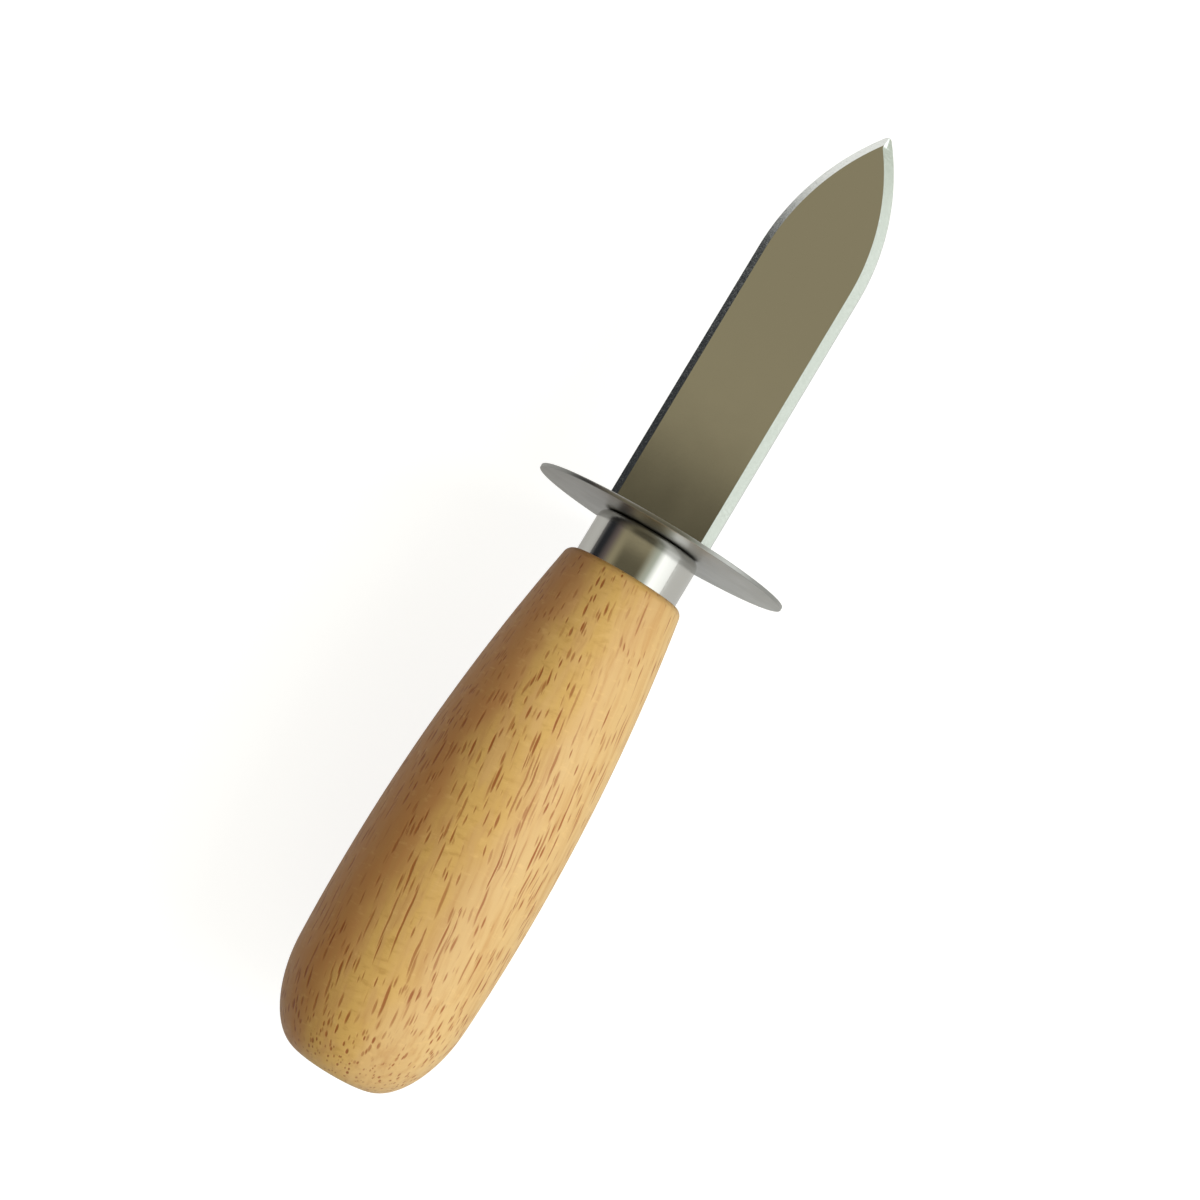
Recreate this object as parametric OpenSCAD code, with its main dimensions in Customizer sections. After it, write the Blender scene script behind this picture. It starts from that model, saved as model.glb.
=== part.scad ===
// Oyster knife: a spear-point blade with a stick tang, a round hand guard, a drawn ferrule
// and a turned wooden handle, held together by the adhesive round the tang.
// +X runs from the butt to the tip, and +Z is square to the blade's flat.
// The origin is the centre of the butt face. All sizes are in millimetres.

/* [Handle] */
// Length of the turned grip, from the butt face to the shoulder under the ferrule
handle_len = 80.6; // [75:0.1:110]
// Largest diameter of the grip
handle_d = 27.8; // [26:0.1:34]
// Distance from the butt face to the largest diameter
belly_x = 28.5; // [24:0.5:40]
// Radius of the long arc that shapes the side of the grip
belly_arc_r = 300; // [280:5:600]
// Length of the rounding at the butt, measured along the grip
butt_round_len = 13.8; // [8:0.1:18]
// Depth of the rounding at the butt, measured across the grip
butt_round_depth = 6.8; // [3:0.1:8]
// Radius of the rounding at the edge of the shoulder
shoulder_round_r = 1.2; // [0.4:0.1:1.2]
// Gap round the spigot inside the ferrule
spigot_gap = 0.05; // [0.02:0.01:0.15]
// Gap between the end of the spigot and the top of the ferrule
spigot_end_gap = 0.1; // [0.05:0.05:0.4]

/* [Ferrule] */
// Outer diameter of the drawn cup
ferrule_d = 16.3; // [14.5:0.1:16.4]
// Height of the cup, from the wooden shoulder to its flat top
ferrule_h = 7.2; // [5:0.1:14]
// Thickness of the cup's sheet
ferrule_wall = 0.6; // [0.4:0.1:0.9]
// Outer radius of the drawn corner at the top of the cup
ferrule_corner_r = 1.4; // [1:0.1:2]

/* [Hand guard] */
// Diameter of the round guard
guard_d = 40; // [30:0.5:60]
// Thickness of the guard's sheet
guard_t = 0.6; // [0.5:0.1:1.5]
// Sideways shift of the guard, which its loose slot allows
guard_shift = 1.35; // [0:0.05:1.6]

/* [Blade] */
// Length of the blade, from the guard to the tip
blade_len = 66.6; // [50:0.1:90]
// Width of the blade
blade_w = 16.6; // [14:0.1:20]
// Thickness of the blade's stock, which the tang keeps
stock_t = 2.2; // [2:0.1:3]
// Thickness left at the blunt edge
edge_t = 0.7; // [0.2:0.1:0.8]
// Width of each ground bevel
bevel_w = 1.25; // [0.8:0.05:2]
// Radius of the two arcs that form the point
point_arc_r = 37.3; // [30:0.1:50]
// Length that the blunt nose takes off the sharp meeting of the two arcs
nose_cut = 0.45; // [0.2:0.05:1]

/* [Tang] */
// Length of the tang, from the blade's shoulders to its end
tang_len = 52; // [30:1:60]
// Width of the tang
tang_w = 7; // [5:0.1:8]
// Gap round the tang in the slots of the guard and the ferrule
slot_gap = 0.15; // [0.1:0.05:0.3]
// Smallest gap that the adhesive fills between the tang's corners and the hole
glue_gap = 0.3; // [0.2:0.05:0.5]
// Depth of the adhesive below the end of the tang
glue_depth = 2.5; // [1:0.5:5]
// Radius of the round notches that key the tang into the adhesive
notch_r = 1.1; // [0.6:0.1:1.4]
// Distance between the notches
notch_pitch = 9; // [6:0.5:12]
// Number of notches on each side of the tang
notch_count = 3; // [1:1:3]
// Size of the cut corners at the end of the tang
tang_corner = 1.6; // [0.5:0.1:2]

/* [Hidden] */
$fn = 96;

// Places along the axis
guard_x = handle_len + ferrule_h;
blade_x = guard_x + guard_t;
tip_x = blade_x + blade_len;
tang_end_x = blade_x - tang_len;
glue_end_x = tang_end_x - glue_depth;

// The spigot fills the cup, and its corner clears the cup's inner corner
cup_inner_r = ferrule_d / 2 - ferrule_wall;
cup_inner_corner_r = ferrule_corner_r - ferrule_wall;
spigot_r = cup_inner_r - spigot_gap;
spigot_len = ferrule_h - ferrule_wall - spigot_end_gap;

// The drilled hole clears the corners of the tang
hole_r = norm([tang_w, stock_t]) / 2 + glue_gap;

// The point starts where the arcs leave the straight edges. Its plane is set to a hundredth
// of a millimetre, so that the straight part and the point meet at exactly one place.
point_centre_y = point_arc_r - blade_w / 2;
point_len = sqrt(pow(point_arc_r, 2) - pow(point_centre_y, 2)) - nose_cut;
point_x = round(100 * (tip_x - point_len)) / 100;

// Slots: the guard's is longer, so that the guard can sit off the axis
slot_t = stock_t + 2 * slot_gap;
ferrule_slot_w = tang_w + 2 * slot_gap;
guard_slot_w = tang_w + 2 * (guard_shift + slot_gap);
through_cut = 1;

// Length over which the tang and the blade are the same stretch of stock
tang_root = tang_w;

// Number of bands that make up each stretch of the turned side
butt_bands = 14;
side_bands = 18;
edge_bands = 6;

// Radius of the long side arc, before the two ends are rounded
function side_r(x) = handle_d / 2 - belly_arc_r + sqrt(pow(belly_arc_r, 2) - pow(x - belly_x, 2));

// Share of an elliptical rounding that is cut away at u, from 0 at its root to 1 at its end
function round_share(u) = u <= 0 ? 0 : 1 - sqrt(1 - pow(min(u, 1), 2));

// Radius of the turned grip at x
function grip_r(x) = side_r(x)
    - butt_round_depth * round_share((butt_round_len - x) / butt_round_len)
    - shoulder_round_r * round_share((x - handle_len + shoulder_round_r) / shoulder_round_r);

// Stations along the grip, closer together where the profile turns fast
function butt_stations() = [for (i = [0:butt_bands]) butt_round_len * (1 - cos(i * 90 / butt_bands))];
function side_stations() = let (run = handle_len - shoulder_round_r - butt_round_len)
    [for (i = [1:side_bands]) butt_round_len + i * run / side_bands];
function edge_stations() = [for (i = [1:edge_bands])
    handle_len - shoulder_round_r * (1 - sin(i * 90 / edge_bands))];

module along_x() {
    rotate([0, 90, 0]) children();
}

// Turned wood: the grip with its rounded butt, and the spigot that the ferrule fits over
module handle() {
    stations = concat(butt_stations(), side_stations(), edge_stations());
    side = [for (x = stations) [grip_r(x), x]];
    color("burlywood") difference() {
        along_x() rotate_extrude() polygon(concat([[0, 0]], side, [
            [spigot_r, handle_len],
            [spigot_r, handle_len + spigot_len - cup_inner_corner_r],
            [spigot_r - cup_inner_corner_r, handle_len + spigot_len],
            [0, handle_len + spigot_len],
        ]));
        translate([glue_end_x, 0, 0]) along_x()
            cylinder(r = hole_r, h = handle_len + spigot_len - glue_end_x + through_cut);
    }
}

// Half section of a cup with a drawn corner, standing on the radius axis
module cup_section(r, h, corner_r) {
    difference() {
        square([r, h]);
        translate([r - corner_r, h - corner_r]) difference() {
            square(corner_r + through_cut);
            circle(corner_r);
        }
    }
}

// Drawn steel cup that keeps the wood from splitting, with a slot for the tang in its top
module ferrule() {
    color("silver") translate([handle_len, 0, 0]) difference() {
        along_x() rotate_extrude() difference() {
            cup_section(ferrule_d / 2, ferrule_h, ferrule_corner_r);
            translate([0, -through_cut])
                cup_section(cup_inner_r, ferrule_h - ferrule_wall + through_cut, cup_inner_corner_r);
        }
        translate([ferrule_h - ferrule_wall - through_cut, -ferrule_slot_w / 2, -slot_t / 2])
            cube([ferrule_wall + 2 * through_cut, ferrule_slot_w, slot_t]);
    }
}

// Stamped disc that keeps the hand off the blade, trapped between the ferrule and the shoulders
module hand_guard() {
    color("lightgray") translate([guard_x, -guard_shift, 0]) difference() {
        along_x() cylinder(d = guard_d, h = guard_t);
        translate([-through_cut, -guard_slot_w / 2, -slot_t / 2])
            cube([guard_t + 2 * through_cut, guard_slot_w, slot_t]);
    }
}

// Flat tang with cut corners at its end and round notches along its sides.
// Its root runs on into the blade, so that the two are one piece of stock.
module tang() {
    translate([0, 0, -stock_t / 2]) linear_extrude(stock_t) difference() {
        polygon([
            [blade_x + tang_root, -tang_w / 2], [blade_x + tang_root, tang_w / 2],
            [tang_end_x + tang_corner, tang_w / 2], [tang_end_x, tang_w / 2 - tang_corner],
            [tang_end_x, tang_corner - tang_w / 2], [tang_end_x + tang_corner, -tang_w / 2],
        ]);
        for (i = [1:notch_count], side = [-1, 1])
            translate([tang_end_x + i * notch_pitch, side * tang_w / 2]) circle(notch_r);
    }
}

// Half of the ground edge's section, from the bevel's inner line out to the blunt edge
function edge_section(r) = [
    [r - bevel_w, -stock_t / 2], [r, -edge_t / 2], [r, edge_t / 2], [r - bevel_w, stock_t / 2],
];

// Disc whose bevelled rim follows one arc of the point
module point_disc(side) {
    translate([point_x, side * point_centre_y, 0]) rotate_extrude($fn = 360)
        polygon(concat([[0, -stock_t / 2]], edge_section(point_arc_r), [[0, stock_t / 2]]));
}

// Flat spear-point blade: straight bevelled edges that run into two bevelled arcs
module ground_blade() {
    right = edge_section(blade_w / 2);
    left = [for (i = [3:-1:0]) [-right[i][0], right[i][1]]];
    translate([blade_x, 0, 0]) rotate([90, 0, 90]) linear_extrude(point_x - blade_x)
        polygon(concat(right, left));
    intersection() {
        point_disc(1);
        point_disc(-1);
        translate([point_x, -blade_w / 2, -stock_t]) cube([tip_x - point_x, blade_w, 2 * stock_t]);
    }
}

// One piece of steel: the ground blade and the tang behind its shoulders
module blade() {
    color("gainsboro") union() {
        ground_blade();
        tang();
    }
}

// Cast adhesive that fills the hole round the tang
module tang_adhesive() {
    color("wheat") difference() {
        translate([glue_end_x, 0, 0]) along_x()
            cylinder(r = hole_r, h = handle_len + spigot_len - glue_end_x);
        tang();
    }
}

blade();
hand_guard();
ferrule();
handle();
tang_adhesive();
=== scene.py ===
"""Oyster knife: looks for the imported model. +X runs from the butt to the tip, +Z is square to the blade."""
import math

import bmesh
import bpy
import numpy as np
from mathutils import Matrix, Vector


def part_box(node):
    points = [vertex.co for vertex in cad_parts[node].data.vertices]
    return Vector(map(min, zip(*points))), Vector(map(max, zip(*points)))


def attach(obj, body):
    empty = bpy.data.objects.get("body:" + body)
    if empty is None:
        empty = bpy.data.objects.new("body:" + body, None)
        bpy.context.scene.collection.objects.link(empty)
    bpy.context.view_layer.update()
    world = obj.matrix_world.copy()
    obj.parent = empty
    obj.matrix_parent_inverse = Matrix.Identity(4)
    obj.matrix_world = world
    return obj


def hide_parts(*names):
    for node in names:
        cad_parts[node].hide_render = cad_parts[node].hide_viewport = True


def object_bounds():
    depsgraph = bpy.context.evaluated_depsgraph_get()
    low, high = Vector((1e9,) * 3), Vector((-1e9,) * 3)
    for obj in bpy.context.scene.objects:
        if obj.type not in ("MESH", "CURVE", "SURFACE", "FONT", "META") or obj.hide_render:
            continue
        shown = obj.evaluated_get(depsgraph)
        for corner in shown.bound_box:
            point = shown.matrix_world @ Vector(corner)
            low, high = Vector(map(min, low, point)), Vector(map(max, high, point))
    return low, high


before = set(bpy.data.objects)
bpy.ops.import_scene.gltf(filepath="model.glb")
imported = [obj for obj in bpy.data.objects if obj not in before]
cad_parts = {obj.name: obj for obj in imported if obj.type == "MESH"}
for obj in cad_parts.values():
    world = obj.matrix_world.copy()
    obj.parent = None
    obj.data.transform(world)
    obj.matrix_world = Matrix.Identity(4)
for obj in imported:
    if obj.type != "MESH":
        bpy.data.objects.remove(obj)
cad_low, cad_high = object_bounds()
MM = 0.001

# The camera
# Looks down on the knife's photographed side. The knife's axis runs up to the right, its tip lies a
# little farther off than its butt, and the knife is rolled so that its right bevel shows wider.
PHOTO_SIZE = 1200
VIEW_ANGLE = math.radians(27.5)
AXIS_ANGLE = math.radians(58.99)
TIP_AWAY = math.radians(3.8)
ROLL = math.radians(9.7)
GUARD_PIXEL = np.array([651.5, 535.1])
GUARD_SCALE = 6.989
SENSOR_WIDTH = 36
NEAREST_SEEN = 0.01


def camera_matrix(guard_x):
    """Rows of the turn are the knife's axes written in the camera's right, up and back directions."""
    along = np.array([math.cos(AXIS_ANGLE), math.sin(AXIS_ANGLE), 0.0])
    across = np.array([math.sin(AXIS_ANGLE), -math.cos(AXIS_ANGLE), 0.0])
    back = np.array([0.0, 0.0, 1.0])
    x_axis = along * math.cos(TIP_AWAY) - back * math.sin(TIP_AWAY)
    face = back * math.cos(TIP_AWAY) + along * math.sin(TIP_AWAY)
    y_axis = -across * math.cos(ROLL) - face * math.sin(ROLL)
    z_axis = face * math.cos(ROLL) - across * math.sin(ROLL)
    turn = np.array([x_axis, y_axis, z_axis])
    focal = PHOTO_SIZE / 2 / math.tan(VIEW_ANGLE / 2)
    right, down = GUARD_PIXEL - PHOTO_SIZE / 2
    seen = np.array([right, -down, -focal]) / GUARD_SCALE * MM
    place = np.array([guard_x, 0.0, 0.0]) - turn @ seen
    matrix = Matrix(turn.tolist()).to_4x4()
    matrix.translation = Vector(place.tolist())
    return matrix


camera_data = bpy.data.cameras.new("camera")
camera_data.sensor_width = SENSOR_WIDTH
camera_data.lens = SENSOR_WIDTH / 2 / math.tan(VIEW_ANGLE / 2)
camera_data.clip_start = NEAREST_SEEN
camera = bpy.data.objects.new("camera", camera_data)
camera.matrix_world = camera_matrix(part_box("hand_guard")[0][0])
bpy.context.collection.objects.link(camera)
bpy.context.scene.camera = camera
bpy.context.scene.view_settings.view_transform = "Standard"

# The floor
# A pale sheet just under the guard's rim, which keeps the knife's soft shadow. It shows nearly white
# to the eye, and less bright in the steel, so that the guard's face stays grey.
FLOOR_SIZE = 20.0
FLOOR_GAP = 0.0005
FLOOR_GREY = (0.42, 0.42, 0.42, 1)
FLOOR_GLOW = 0.78
FLOOR_IN_STEEL = 0.4


def new_material(name):
    """Material with an empty node tree, as (material, tree)."""
    material = bpy.data.materials.new(name)
    material.use_nodes = True
    material.node_tree.nodes.clear()
    return material, material.node_tree


def feed(socket, value):
    """Links the socket to the value if that is a socket too, and otherwise sets it."""
    if isinstance(value, bpy.types.NodeSocket):
        socket.id_data.links.new(value, socket)
    else:
        socket.default_value = value


def add_node(tree, kind, *fed, **named):
    """One node of the kind. What is fed goes to its inputs in their order.

    A named value is a setting of the node, or else goes to its input of that name.
    """
    node = tree.nodes.new(kind)
    for name, value in named.items():
        if name in node.bl_rna.properties:
            setattr(node, name, value)
        else:
            feed(node.inputs[name.replace("_", " ")], value)
    for socket, value in zip(node.inputs, fed):
        feed(socket, value)
    return node


def combine(tree, operation, first, second):
    """One number from two, by an operation such as MULTIPLY or MAXIMUM."""
    return add_node(tree, "ShaderNodeMath", first, second, operation=operation).outputs[0]


def floor_material():
    """Grey paper, with a glow that only shows to the eye, through glass and, weaker, in steel."""
    material, tree = new_material("floor")
    path = add_node(tree, "ShaderNodeLightPath").outputs
    in_steel = combine(tree, "MULTIPLY", path["Is Glossy Ray"], FLOOR_IN_STEEL)
    seen = combine(tree, "MAXIMUM", path["Is Camera Ray"], in_steel)
    seen = combine(tree, "MAXIMUM", seen, path["Is Transmission Ray"])
    paper = add_node(tree, "ShaderNodeBsdfDiffuse", Color=FLOOR_GREY)
    glow = add_node(tree, "ShaderNodeEmission", Strength=combine(tree, "MULTIPLY", seen, FLOOR_GLOW))
    both = add_node(tree, "ShaderNodeAddShader", paper.outputs[0], glow.outputs[0])
    add_node(tree, "ShaderNodeOutputMaterial", Surface=both.outputs[0])
    return material


floor_z = cad_low[2] - FLOOR_GAP
quarters = [(-0.5, -0.5), (0.5, -0.5), (0.5, 0.5), (-0.5, 0.5)]
corners = [(x * FLOOR_SIZE, y * FLOOR_SIZE, floor_z) for x, y in quarters]
floor_mesh = bpy.data.meshes.new("floor")
floor_mesh.from_pydata(corners, [], [(0, 1, 2, 3)])
floor_mesh.materials.append(floor_material())
floor = bpy.data.objects.new("floor", floor_mesh)
bpy.context.collection.objects.link(floor)

# The room
# Soft surroundings that the polished steel shows: a bright card on the right, an olive ceiling, a black
# card on the left, a pale card beyond the tip, and a dark patch straight above, where the viewer stands.
GREY_WALL = (0.45, 0.44, 0.42)
DIM_WALL = (0.24, 0.235, 0.23)
BRIGHT_CARD = (1.7, 1.75, 1.7)
CARD_EDGE = (0.6, 0.65, 0.55)
OLIVE_CEILING = (0.36, 0.32, 0.20)
BROWN_SHADE = (0.16, 0.13, 0.12)
BLACK_CARD = (0.028, 0.03, 0.034)
TIP_CARD = (1.1, 1.08, 1.05)
WHITE = (1, 1, 1, 1)
# Round the knife's axis: from straight below, up the right, over the top and down the left
ROOM_BANDS = [
    (0.00, GREY_WALL), (0.34, BRIGHT_CARD), (0.38, CARD_EDGE), (0.44, OLIVE_CEILING), (0.61, OLIVE_CEILING),
    (0.65, BROWN_SHADE), (0.69, BLACK_CARD), (0.72, BLACK_CARD), (0.76, DIM_WALL), (1.00, GREY_WALL),
]
# Brightness straight above, by how far a direction leans to the tip. The stops run from start to end.
PATCH_START = 0.08
PATCH_END = 0.28
PATCH_SHADES = [(0.05, 0.4), (0.15, 0.27), (0.20, 0.3), (0.24, 0.44), (0.29, 1.1), (0.6, 1.0)]


def add_ramp(tree, place, stops):
    """Colour at the place along a ramp through the stops, each a place from 0 to 1 and a colour."""
    ramp = add_node(tree, "ShaderNodeValToRGB", place)
    points = ramp.color_ramp.elements
    while len(points) < len(stops):
        points.new(1.0)
    for point, (position, colour) in zip(points, stops):
        point.position = position
        point.color = (*colour, 1.0)
    return ramp.outputs["Color"]


def level(tree, value, low, high, bottom=0.0, top=1.0, easing="SMOOTHSTEP"):
    """Value brought from the range low to high to the range bottom to top, and held at its ends."""
    ends = {"From Min": low, "From Max": high, "To Min": bottom, "To Max": top}
    node = add_node(tree, "ShaderNodeMapRange", value, interpolation_type=easing)
    for name, end in ends.items():
        node.inputs[name].default_value = end
    return node.outputs[0]


def blend(tree, factor, first, second):
    """Colour between the first and the second. Each is a colour or a socket."""
    node = add_node(tree, "ShaderNodeMix", factor, data_type="RGBA")
    colour_inputs = [socket for socket in node.inputs if socket.type == "RGBA"]
    for socket, colour in zip(colour_inputs, (first, second)):
        feed(socket, (*colour, 1.0) if isinstance(colour, tuple) else colour)
    return next(socket for socket in node.outputs if socket.type == "RGBA")


def furnish_room():
    """World whose colour depends on the direction: bands by the angle round the axis, and two patches."""
    world = bpy.data.worlds.new("room")
    world.use_nodes = True
    tree = world.node_tree
    tree.nodes.clear()
    sight = add_node(tree, "ShaderNodeTexCoord").outputs["Generated"]
    along, left, up = add_node(tree, "ShaderNodeSeparateXYZ", sight).outputs
    angle = combine(tree, "ARCTAN2", left, up)
    band_place = level(tree, angle, -math.pi, math.pi, easing="LINEAR")
    bands = add_ramp(tree, band_place, ROOM_BANDS)
    shade_place = level(tree, along, PATCH_START, PATCH_END, easing="LINEAR")
    shade = add_ramp(tree, shade_place, [(place, (grey,) * 3) for place, grey in PATCH_SHADES])
    overhead = level(tree, up, low=0.8, high=0.95)
    patch = add_node(tree, "ShaderNodeMix", overhead, data_type="FLOAT", A=1.0, B=shade)
    shaded = add_node(tree, "ShaderNodeVectorMath", bands, operation="SCALE", Scale=patch.outputs[0])
    beyond_tip = level(tree, along, low=0.28, high=0.52)
    on_left = level(tree, left, low=0.1, high=0.5)
    card = combine(tree, "MULTIPLY", beyond_tip, on_left)
    room = add_node(tree, "ShaderNodeBackground", Color=blend(tree, card, shaded.outputs[0], TIP_CARD))
    backdrop = add_node(tree, "ShaderNodeBackground", Color=WHITE)
    to_eye = add_node(tree, "ShaderNodeLightPath").outputs["Is Camera Ray"]
    shown = add_node(tree, "ShaderNodeMixShader", to_eye, room.outputs[0], backdrop.outputs[0])
    add_node(tree, "ShaderNodeOutputWorld", Surface=shown.outputs[0])
    return world


bpy.context.scene.world = furnish_room()

# The lamps
# A large square lamp on the right lights the wood, and a weaker one overhead softens its shadow. The
# steel shows the room and neither lamp.
KEY_TINT = (0.94, 1.0, 0.98)
knife_middle = Vector((0.075, 0.0, 0.0))


def soft_lamp(name, place, size, power, tint=(1.0, 1.0, 1.0)):
    """Square lamp at the place that faces the middle of the knife."""
    data = bpy.data.lights.new(name, "AREA")
    data.size = size
    data.energy = power
    data.color = tint
    lamp = bpy.data.objects.new(name, data)
    lamp.rotation_euler = (knife_middle - Vector(place)).to_track_quat("-Z", "Y").to_euler()
    lamp.location = place
    lamp.visible_camera = False
    lamp.visible_glossy = False
    bpy.context.collection.objects.link(lamp)


soft_lamp("key_lamp", place=(0.13, -0.62, 0.40), size=0.5, power=3.35, tint=KEY_TINT)
soft_lamp("overhead_lamp", place=(0.05, -0.2, 0.8), size=0.7, power=0.9)

# The handle
# Turned on a lathe from a pale, open-pored hardwood and given a thin satin lacquer. Its spigot goes
# into the ferrule, and the tang is set in the hole drilled down its middle.
GRIP_R = 13.9 * MM
BELLY_X = 28.5 * MM
SIDE_ARC_R = 300 * MM
BUTT_LENGTH = 13.8 * MM
BUTT_DEPTH = 6.8 * MM
SHOULDER_ROUND = 1.2 * MM
SPIGOT_R = 7.5 * MM
SPIGOT_CORNER = 0.8 * MM
BUTT_ROWS = 40
SIDE_ROWS = 120
SHOULDER_ROWS = 14
TURNED_COLUMNS = 192
spigot_end_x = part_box("handle")[1][0]
shoulder_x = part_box("ferrule")[0][0]
glue_low, glue_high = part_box("tang_adhesive")


def rounding(u):
    """Share that a quarter ellipse cuts away: one less the root of one less u squared."""
    return 1 - np.sqrt(1 - np.clip(u, 0, 1) ** 2)


def grip_radius(x):
    """One long arc, less a quarter ellipse at the butt and a small one at the shoulder."""
    side = GRIP_R - SIDE_ARC_R + np.sqrt(SIDE_ARC_R**2 - (x - BELLY_X) ** 2)
    butt = BUTT_DEPTH * rounding((BUTT_LENGTH - x) / BUTT_LENGTH)
    edge = SHOULDER_ROUND * rounding((x - shoulder_x + SHOULDER_ROUND) / SHOULDER_ROUND)
    return side - butt - edge


def handle_profile():
    """Stations of (x, radius): from the middle of the butt over the grip, up the spigot, down the hole."""
    butt = BUTT_LENGTH * (1 - np.cos(np.linspace(0, math.pi / 2, BUTT_ROWS)))
    side = np.linspace(BUTT_LENGTH, shoulder_x - SHOULDER_ROUND, SIDE_ROWS)[1:-1]
    edge = shoulder_x - SHOULDER_ROUND * (1 - np.sin(np.linspace(0, math.pi / 2, SHOULDER_ROWS)))
    x = np.concatenate([butt, side, edge])
    grip = np.stack([x, grip_radius(x)], axis=1)
    hole_r = glue_high[1]
    inside = np.array([
        [shoulder_x, SPIGOT_R],
        [spigot_end_x - SPIGOT_CORNER, SPIGOT_R],
        [spigot_end_x, SPIGOT_R - SPIGOT_CORNER],
        [spigot_end_x, hole_r],
        [glue_low[0], hole_r],
        [glue_low[0], 0],
    ])
    return np.concatenate([[[0, 0]], grip, inside])


def revolve(profile, columns):
    """Grid of a profile of (x, radius) turned round the x axis."""
    angle = np.linspace(0, 2 * math.pi, columns, endpoint=False)
    x = np.repeat(profile[:, :1], columns, axis=1)
    return np.stack([x, profile[:, 1:] * np.cos(angle), profile[:, 1:] * np.sin(angle)], axis=-1)


def grid_piece(name, points, node, material, loop_rows=False, sharp=25):
    """Piece from a grid of points, columns round it and rows along it, that replaces the node.

    Equal points are merged, open ends are closed, faces point outwards, and edges sharper than the
    angle in degrees stay sharp.
    """
    rows, columns, _ = points.shape
    low = np.arange(rows if loop_rows else rows - 1)[:, None] * columns
    around = np.arange(columns)[None, :]
    beside = (around + 1) % columns
    above = (low + columns) % (rows * columns)
    faces = np.stack([low + around, low + beside, above + beside, above + around], axis=-1).reshape(-1, 4)
    mesh = bpy.data.meshes.new(name)
    mesh.from_pydata(points.reshape(-1, 3).tolist(), [], faces.tolist())
    work = bmesh.new()
    work.from_mesh(mesh)
    bmesh.ops.remove_doubles(work, verts=work.verts, dist=1e-7)
    bmesh.ops.holes_fill(work, edges=[edge for edge in work.edges if edge.is_boundary], sides=0)
    bmesh.ops.recalc_face_normals(work, faces=work.faces)
    work.to_mesh(mesh)
    work.free()
    mesh.polygons.foreach_set("use_smooth", np.ones(len(mesh.polygons), dtype=bool))
    mesh.set_sharp_from_angle(angle=math.radians(sharp))
    mesh.materials.append(material)
    piece = bpy.data.objects.new(name, mesh)
    bpy.context.collection.objects.link(piece)
    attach(piece, "root")
    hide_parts(node)
    return piece


# The wood's colours, patterns and three kinds of pore. A scale is in cells per millimetre, first along
# the grain and then both ways across it. A pore's width is a part of its cell, and the share says how
# many cells hold one.
PALE_WOOD = (0.625, 0.378, 0.136)
TAN_WOOD = (0.53, 0.298, 0.096)
PAINTED_SHADE_WOOD = (0.47, 0.208, 0.062)
PAINTED_LIGHT_WOOD = (0.62, 0.415, 0.185)
# Painted shade: darker, redder wood put on the handle's left side, away from the key lamp.
STREAK_BROWN = (0.48, 0.245, 0.075)
# Painted light: paler wood put on the handle's right side, towards the key lamp.
FIGURE_YELLOW = (0.61, 0.37, 0.10)
RIPPLE_BROWN = (0.46, 0.25, 0.06)
FLECK_CREAM = (0.76, 0.50, 0.20)
PORE_BROWN = (0.29, 0.082, 0.009)
GROWTH_SCALE = (0.012, 0.16, 0.16)
STREAK_SCALE = (0.06, 1.1, 1.1)
FIGURE_SCALE = (0.10, 0.45, 0.45)
RIPPLE_SCALE = (1.3, 0.5, 0.5)
PATCH_SCALE = (0.04, 0.25, 0.25)
SURFACE_SCALE = (0.5, 1.6, 1.6)
GLOSS_SCALE = (0.3, 1.2, 1.2)
WAVER_SCALE = 0.11
SHORT_PORES = {"scale": (0.24, 1.5, 1.5), "width": 0.38, "share": 0.55, "seed": 3.0}
MEDIUM_PORES = {"scale": (0.075, 1.5, 1.5), "width": 0.35, "share": 0.75, "seed": 11.0}
LONG_PORES = {"scale": (0.04, 1.3, 1.3), "width": 0.33, "share": 0.9, "seed": 23.0}
GRAIN_TURN = (0, math.radians(2), math.radians(-8))
WAVER_ACROSS = (0.0, 1.2, 1.2)
WAVER_OF_BANDS = 7 * MM
BUMP_HEIGHT = 0.1 * MM


def grain_noise(tree, grain, scale, detail=4.0):
    """Noise on the grain, squeezed by the scale so that the pattern stretches."""
    place = add_node(tree, "ShaderNodeMapping", grain, Scale=scale).outputs[0]
    noise = add_node(tree, "ShaderNodeTexNoise", place, Scale=1.0, Detail=detail, Roughness=0.55)
    return noise.outputs["Fac"]


def pores(tree, grain, scale, width, share, seed):
    """Lens-shaped dashes in a share of the stretched cells, each of its own length and darkness."""
    place = add_node(tree, "ShaderNodeMapping", grain, Scale=scale).outputs[0]
    shift = (seed, seed * 2, seed * 3)
    moved = add_node(tree, "ShaderNodeVectorMath", place, shift, operation="ADD").outputs[0]
    cells = add_node(tree, "ShaderNodeTexVoronoi", moved, Scale=1.0, Randomness=1.0)
    choice, tone, size = add_node(tree, "ShaderNodeSeparateColor", cells.outputs["Color"]).outputs
    chosen = level(tree, choice, 1 - share, 1.01 - share)
    darkness = level(tree, tone, 0.0, 1.0, bottom=0.65)
    shrink = level(tree, size, 0.0, 1.0, bottom=1.5, top=0.85)
    away = combine(tree, "MULTIPLY", cells.outputs["Distance"], shrink)
    dash = level(tree, away, width, width * 0.4)
    return combine(tree, "MULTIPLY", combine(tree, "MULTIPLY", dash, chosen), darkness)


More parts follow.
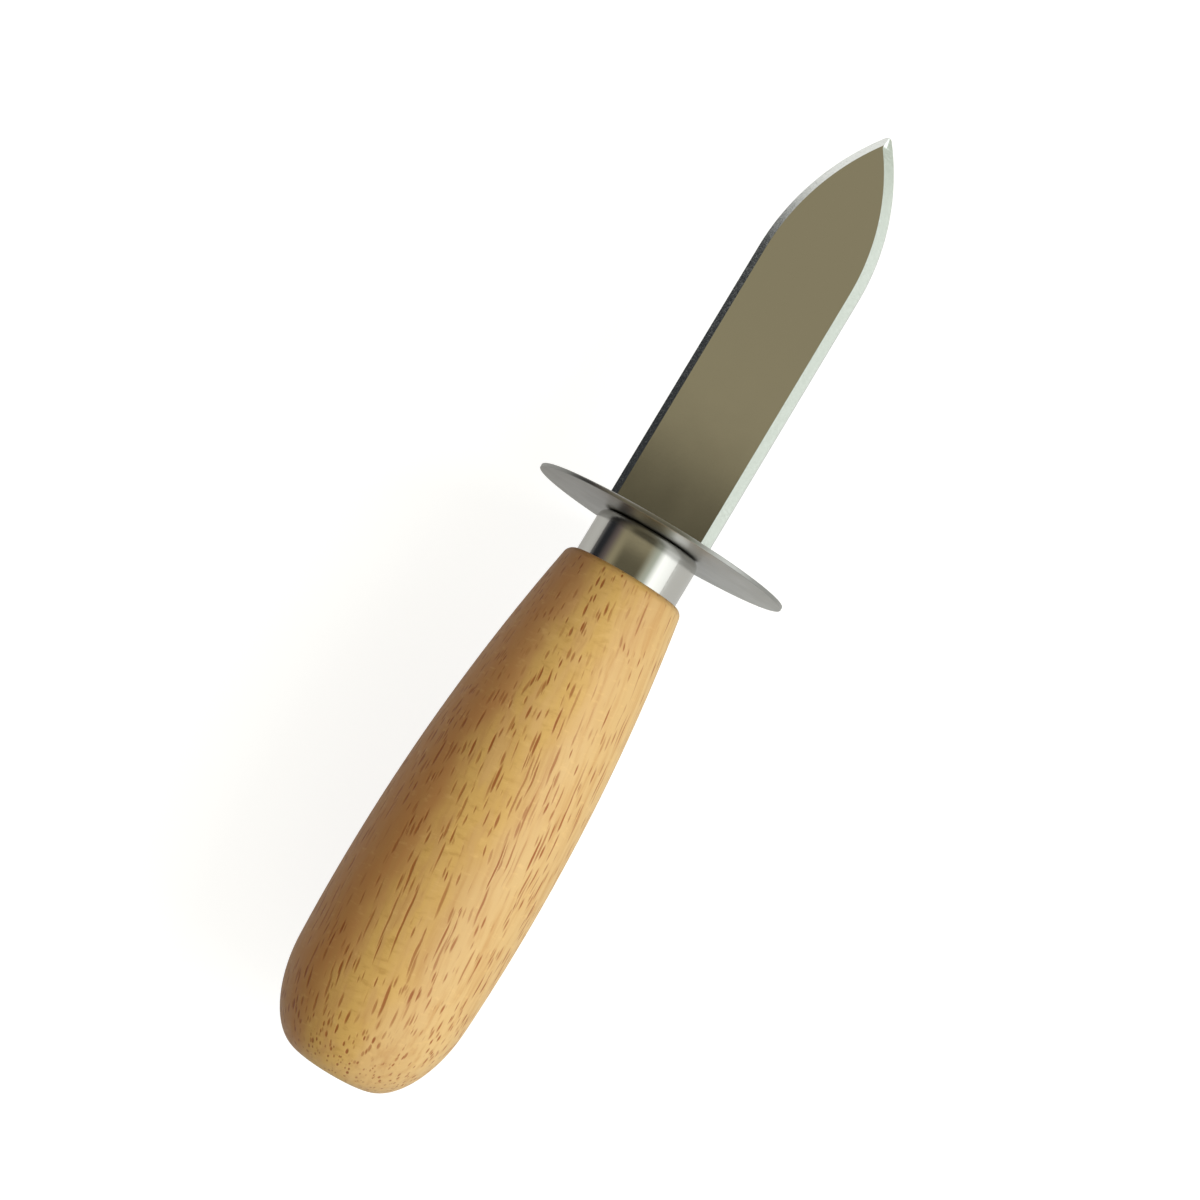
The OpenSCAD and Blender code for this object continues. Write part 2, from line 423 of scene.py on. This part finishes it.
def wood_colour(tree, grain, left, waver):
    """Growth bands, with painted shade (darker and redder) on the left side and painted light (paler) on the
    right side, and a rippled yellow figure between.
    """
    shift = combine(tree, "MULTIPLY", waver, WAVER_OF_BANDS)
    across = combine(tree, "ADD", shift, left)
    growth = level(tree, grain_noise(tree, grain, GROWTH_SCALE), low=0.35, high=0.65)
    colour = blend(tree, growth, PALE_WOOD, TAN_WOOD)
    # Painted shade: the handle's left side is darkened and reddened.
    colour = blend(tree, level(tree, across, low=2 * MM, high=10.5 * MM, top=0.9), colour, PAINTED_SHADE_WOOD)
    # Painted light: the handle's right side is made paler.
    colour = blend(tree, level(tree, across, low=1 * MM, high=-8 * MM, top=0.7), colour, PAINTED_LIGHT_WOOD)
    streaks = level(tree, grain_noise(tree, grain, STREAK_SCALE, 5.0), low=0.42, high=0.72, top=0.6)
    colour = blend(tree, streaks, colour, STREAK_BROWN)
    right_side = level(tree, across, low=-3 * MM, high=1 * MM)
    left_side = level(tree, across, low=9 * MM, high=5 * MM)
    cloud = level(tree, grain_noise(tree, grain, FIGURE_SCALE, 3.0), low=0.35, high=0.6)
    figure = combine(tree, "MULTIPLY", combine(tree, "MULTIPLY", right_side, left_side), cloud)
    colour = blend(tree, combine(tree, "MULTIPLY", figure, 0.75), colour, FIGURE_YELLOW)
    ripple = grain_noise(tree, grain, RIPPLE_SCALE, 3.0)
    dark_ripple = combine(tree, "MULTIPLY", figure, level(tree, ripple, low=0.5, high=0.75, top=0.7))
    colour = blend(tree, dark_ripple, colour, RIPPLE_BROWN)
    return blend(tree, level(tree, ripple, low=0.45, high=0.2, top=0.3), colour, FLECK_CREAM)


def wood_pores(tree, grain, along):
    """Short and medium pores, fewer in places, and long ones that fade out towards the ferrule."""
    short = pores(tree, grain, **SHORT_PORES)
    medium = pores(tree, grain, **MEDIUM_PORES)
    patches = level(tree, grain_noise(tree, grain, PATCH_SCALE, 2.0), low=0.33, high=0.5, bottom=0.35)
    patchy = combine(tree, "MULTIPLY", combine(tree, "MAXIMUM", short, medium), patches)
    fade = level(tree, along, low=85 * MM, high=45 * MM)
    faded = combine(tree, "MULTIPLY", pores(tree, grain, **LONG_PORES), fade)
    return combine(tree, "MAXIMUM", patchy, faded)


def wood_material():
    """Wood with a slightly wavering grain, sunken brown pores, a faint ripple and a satin lacquer."""
    material, tree = new_material("lacquered_wood")
    where = add_node(tree, "ShaderNodeTexCoord").outputs["Object"]
    along, left, _ = add_node(tree, "ShaderNodeSeparateXYZ", where).outputs
    straight = add_node(tree, "ShaderNodeMapping", where, Rotation=GRAIN_TURN, Scale=(1 / MM,) * 3).outputs[0]
    waver = add_node(tree, "ShaderNodeTexNoise", straight, Scale=WAVER_SCALE, Detail=2.0)
    wavering = add_node(
        tree, "ShaderNodeVectorMath", waver.outputs["Color"], WAVER_ACROSS, straight, operation="MULTIPLY_ADD"
    )
    grain = wavering.outputs[0]
    dark = wood_pores(tree, grain, along)
    colour = blend(tree, dark, wood_colour(tree, grain, left, waver.outputs["Fac"]), PORE_BROWN)
    dents = add_node(tree, "ShaderNodeBump", invert=True, Strength=0.35, Distance=BUMP_HEIGHT, Height=dark)
    ripple = add_node(
        tree, "ShaderNodeBump", Strength=0.12, Distance=BUMP_HEIGHT,
        Height=grain_noise(tree, grain, SURFACE_SCALE), Normal=dents.outputs[0],
    )
    gloss = level(tree, grain_noise(tree, grain, GLOSS_SCALE), low=0.3, high=0.7, bottom=0.48, top=0.6)
    wood = add_node(
        tree, "ShaderNodeBsdfPrincipled", Base_Color=colour, Roughness=gloss, Normal=ripple.outputs[0],
        IOR=1.5, Coat_Weight=0.22, Coat_Roughness=0.38,
    )
    add_node(tree, "ShaderNodeOutputMaterial", Surface=wood.outputs[0])
    return material


handle_grid = revolve(handle_profile(), TURNED_COLUMNS)
grid_piece("turned_handle", handle_grid, "handle", wood_material(), sharp=40)

# The ferrule
# A cup drawn from thin steel sheet and polished, pushed over the spigot. Its closed end has a slot
# that the tang goes through.
FERRULE_WALL = 0.6 * MM
FERRULE_CORNER = 1.4 * MM
FERRULE_SLOT_W = 7.3 * MM
SLOT_T = 2.5 * MM
IN_SLOT = 0.0
CORNER_ROWS = 12
FERRULE_TONE = (0.62, 0.61, 0.59)
LINE_HEIGHT = 0.05 * MM
CLOUDS_PER_METRE = 220.0
ferrule_low, ferrule_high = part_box("ferrule")


def cup_profile(low_x, high_x, outer_r):
    """Stations up the outside, round the corner, in to the slot, back under the top, down the inside."""
    turn = np.linspace(0, math.pi / 2, CORNER_ROWS)
    fast, slow = 1 - np.sin(turn), 1 - np.cos(turn)
    inner_corner = FERRULE_CORNER - FERRULE_WALL
    under_x = high_x - FERRULE_WALL
    inner_r = outer_r - FERRULE_WALL
    outer = np.stack([high_x - FERRULE_CORNER * fast, outer_r - FERRULE_CORNER * slow], axis=1)
    inner = np.stack([under_x - inner_corner * slow, inner_r - inner_corner * fast], axis=1)
    top = [[high_x, IN_SLOT], [under_x, IN_SLOT]]
    return np.concatenate([[[low_x, outer_r]], outer, top, inner, [[low_x, inner_r]]])


def slotted(profile, slot_w, slot_t, columns, centre_y=0.0):
    """Grid of a turned profile whose stations marked as in the slot lie on the slot's rectangle.

    A ray at a column's angle meets the rectangle at the nearer of half its width over the cosine and
    half its thickness over the sine.
    """
    angle = np.linspace(0, 2 * math.pi, columns, endpoint=False)
    cos, sin = np.cos(angle), np.sin(angle)
    least = 1e-9
    slot_ray = np.minimum(slot_w / 2 / np.maximum(abs(cos), least), slot_t / 2 / np.maximum(abs(sin), least))
    ray = np.where(profile[:, 1:] == IN_SLOT, slot_ray, profile[:, 1:])
    x = np.repeat(profile[:, :1], columns, axis=1)
    return np.stack([x, centre_y + ray * cos, ray * sin], axis=-1)


def steel_material(name, tone, rough, lines, depth, streak=0.0):
    """Steel with fine lines from noise stretched by the lines' scale, in cells per millimetre.

    The lines are dents of the depth, and darken the tone by up to the streak. Clouds vary the roughness.
    """
    material, tree = new_material(name)
    where = add_node(tree, "ShaderNodeTexCoord").outputs["Object"]
    scale = tuple(value / MM for value in lines)
    place = add_node(tree, "ShaderNodeMapping", where, Scale=scale).outputs[0]
    fine = add_node(tree, "ShaderNodeTexNoise", place, Scale=1.0, Detail=5.0, Roughness=0.6).outputs["Fac"]
    cloudy = add_node(tree, "ShaderNodeTexNoise", where, Scale=CLOUDS_PER_METRE, Detail=3.0).outputs["Fac"]
    mottle = level(tree, cloudy, 0.0, 1.0, bottom=rough * 0.75, top=rough * 1.3, easing="LINEAR")
    bump = add_node(tree, "ShaderNodeBump", Strength=depth, Distance=LINE_HEIGHT, Height=fine)
    colour = (*tone, 1.0)
    if streak:
        colour = blend(tree, fine, tone, tuple(value * (1 - streak) for value in tone))
    steel = add_node(
        tree, "ShaderNodeBsdfPrincipled", Metallic=1.0, Base_Color=colour,
        Roughness=mottle, Normal=bump.outputs[0],
    )
    add_node(tree, "ShaderNodeOutputMaterial", Surface=steel.outputs[0])
    return material


ferrule_profile = cup_profile(ferrule_low[0], ferrule_high[0], ferrule_high[1])
ferrule_grid = slotted(ferrule_profile, FERRULE_SLOT_W, SLOT_T, TURNED_COLUMNS)
ferrule_steel = steel_material("polished_ferrule", FERRULE_TONE, rough=0.1, lines=(6, 0.6, 0.6), depth=0.03)
grid_piece("drawn_ferrule", ferrule_grid, "ferrule", ferrule_steel, loop_rows=True)

# The hand guard
# A disc stamped from thin stainless sheet and left satin. It sits loosely between the ferrule and
# the blade's shoulders, off the axis by the play in its slot.
GUARD_SLOT_W = 10.0 * MM
GUARD_EDGE = 0.12 * MM
GUARD_EDGE_ROWS = 5
GUARD_COLUMNS = 256
GUARD_TONE = (0.40, 0.40, 0.39)
guard_low, guard_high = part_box("hand_guard")


def disc_profile(low_x, high_x, rim_r):
    """Stations out over the lower face, round the broken edge of the rim and in over the upper face."""
    turn = np.linspace(0, math.pi / 2, GUARD_EDGE_ROWS)
    fast, slow = GUARD_EDGE * (1 - np.sin(turn)), GUARD_EDGE * (1 - np.cos(turn))
    lower = np.stack([low_x + slow, rim_r - fast], axis=1)
    upper = np.stack([high_x - fast, rim_r - slow], axis=1)
    return np.concatenate([[[low_x, IN_SLOT]], lower, upper, [[high_x, IN_SLOT]]])


guard_profile = disc_profile(guard_low[0], guard_high[0], guard_high[2])
guard_centre = (guard_low[1] + guard_high[1]) / 2
guard_grid = slotted(guard_profile, GUARD_SLOT_W, SLOT_T, GUARD_COLUMNS, guard_centre)
guard_steel = steel_material(
    "satin_guard", GUARD_TONE, rough=0.32, lines=(2.5, 1.2, 1.2), depth=0.12, streak=0.12
)
grid_piece("round_guard", guard_grid, "hand_guard", guard_steel, loop_rows=True, sharp=35)

# The blade
# Stamped from flat stainless stock and polished, with a narrow bevel ground along each edge and
# round the point on both faces. Its shoulders seat on the guard.
EDGE_T = 0.7 * MM
RIGHT_BEVEL = 1.42 * MM
LEFT_BEVEL = 1.15 * MM
POINT_ARC_R = 37.3 * MM
NOSE_CUT = 0.45 * MM
NOSE_R = 0.8 * MM
NOSE_START = 0.55 * NOSE_R
FLAT_COLUMNS = 8
BEVEL_COLUMNS = 3
STRAIGHT_ROWS = 30
POINT_ROWS = 110
TIP_CROWDING = 1.6
FLAT_TONE = (0.62, 0.61, 0.585)
BEVEL_TONE = (0.76, 0.79, 0.77)
FLAT_NORMAL = 0.97
SHOULDER_NORMAL = -0.9
blade_low, blade_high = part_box("blade")
blade_x = guard_high[0]
tip_x = blade_high[0]
blade_w = blade_high[1] - blade_low[1]
stock_t = blade_high[2] - blade_low[2]
arc_centre = POINT_ARC_R - blade_w / 2
point_x = tip_x - (math.sqrt(POINT_ARC_R**2 - arc_centre**2) - NOSE_CUT)


def blade_reach(x, inset):
    """Half width of the outline, drawn in by the inset: straight, then an arc, then the small nose."""
    past = np.maximum(x - point_x, 0)
    arc = np.sqrt(np.maximum((POINT_ARC_R - inset) ** 2 - past**2, 0)) - arc_centre
    nose = np.sqrt(np.maximum((NOSE_R - inset) ** 2 - np.maximum(x - tip_x + NOSE_R, 0) ** 2, 0))
    blunt = np.where(x > tip_x - NOSE_START, nose, arc)
    return np.maximum(np.minimum(arc, blunt), 0)


def blade_face(x):
    """Upper surface from the right edge to the left: bevel, flat, bevel.

    A point's height is set by how far in from the outline it is, up to half the stock.
    """
    edge, right, left = (blade_reach(x, inset) for inset in (0.0, RIGHT_BEVEL, LEFT_BEVEL))
    share = np.linspace(0, 1, BEVEL_COLUMNS + 1)
    flat = np.linspace(0, 1, FLAT_COLUMNS + 1)[1:-1]
    y_right = -edge[:, None] + (edge - right)[:, None] * share
    y_flat = -right[:, None] + (right + left)[:, None] * flat
    y_left = left[:, None] + (edge - left)[:, None] * share
    y = np.concatenate([y_right, y_flat, y_left], axis=1)
    past = np.maximum(x - point_x, 0)[:, None]
    inside = POINT_ARC_R - np.hypot(past, arc_centre + abs(y))
    slope = (stock_t - EDGE_T) / 2 / np.where(y < 0, RIGHT_BEVEL, LEFT_BEVEL)
    z = np.minimum(EDGE_T / 2 + np.maximum(inside, 0) * slope, stock_t / 2)
    return y, z


def blade_rows():
    """Stations along the blade, evenly up to the point and then closer together towards the nose."""
    straight = np.linspace(blade_x, point_x, STRAIGHT_ROWS)[:-1]
    point = tip_x - (tip_x - point_x) * (1 - np.linspace(0, 1, POINT_ROWS)) ** TIP_CROWDING
    return np.concatenate([straight, point])


def blade_grid():
    """Closed section at each station: the upper face, then the lower face back the other way."""
    x = blade_rows()
    y, z = blade_face(x)
    y = np.concatenate([y, y[:, ::-1]], axis=1)
    z = np.concatenate([z, -z[:, ::-1]], axis=1)
    return np.stack([np.repeat(x[:, None], y.shape[1], axis=1), y, z], axis=-1)


def dress_bevels(mesh, material):
    """Gives the material to the faces that lean away from the blade's flat, but not to the shoulders."""
    mesh.materials.append(material)
    normals = np.empty(len(mesh.polygons) * 3)
    mesh.polygons.foreach_get("normal", normals)
    normals = normals.reshape(-1, 3)
    ground = (abs(normals[:, 2]) < FLAT_NORMAL) & (normals[:, 0] > SHOULDER_NORMAL)
    mesh.polygons.foreach_set("material_index", ground.astype(np.int32))


flat_steel = steel_material("polished_flat", FLAT_TONE, rough=0.09, lines=(0.25, 7, 7), depth=0.035)
bevel_steel = steel_material(
    "ground_bevel", BEVEL_TONE, rough=0.1, lines=(14, 1.2, 1.2), depth=0.4, streak=0.15
)
blade = grid_piece("ground_blade", blade_grid(), "blade", flat_steel, sharp=12)
dress_bevels(blade.data, bevel_steel)

# The tang
# One piece of stock with the blade. It goes down through the guard and the ferrule into the handle,
# and its round notches key it into the adhesive. It is drawn a hair thinner, so that its root lies
# inside the blade.
TANG_W = 7.0 * MM
TANG_CORNER = 1.6 * MM
TANG_FIT = 0.98
TANG_ROWS = 700
NOTCH_R = 1.1 * MM
NOTCH_PITCH = 9.0 * MM
NOTCH_COUNT = 3


def tang_grid():
    """Flat bar whose half width dips by a half circle at each notch and narrows at its end."""
    start = blade_low[0]
    x = np.linspace(start, blade_x + TANG_W, TANG_ROWS)
    half_w = TANG_W / 2 - np.maximum(TANG_CORNER - (x - start), 0)
    for number in range(1, NOTCH_COUNT + 1):
        away = x - start - number * NOTCH_PITCH
        half_w = half_w - np.sqrt(np.maximum(NOTCH_R**2 - away**2, 0))
    half_t = stock_t / 2 * TANG_FIT
    y = np.stack([-half_w, half_w, half_w, -half_w], axis=1)
    z = np.tile([half_t, half_t, -half_t, -half_t], (len(x), 1))
    return np.stack([np.repeat(x[:, None], y.shape[1], axis=1), y, z], axis=-1)


grid_piece("notched_tang", tang_grid(), "blade", flat_steel)

# The adhesive
# Poured into the drilled hole round the tang. None of it shows when the knife is whole, so it keeps
# its plain shape.
DARK_RESIN = (0.55, 0.42, 0.22)
PALE_RESIN = (0.68, 0.55, 0.33)


def adhesive_material():
    """Amber resin with soft clouds."""
    material, tree = new_material("cast_adhesive")
    where = add_node(tree, "ShaderNodeTexCoord").outputs["Object"]
    cloud = add_node(tree, "ShaderNodeTexNoise", where, Scale=400.0, Detail=3.0).outputs["Fac"]
    tone = add_ramp(tree, cloud, [(0.3, DARK_RESIN), (0.7, PALE_RESIN)])
    resin = add_node(tree, "ShaderNodeBsdfPrincipled", Base_Color=tone, Roughness=0.3)
    add_node(tree, "ShaderNodeOutputMaterial", Surface=resin.outputs[0])
    return material


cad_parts["tang_adhesive"].material_slots[0].material = adhesive_material()
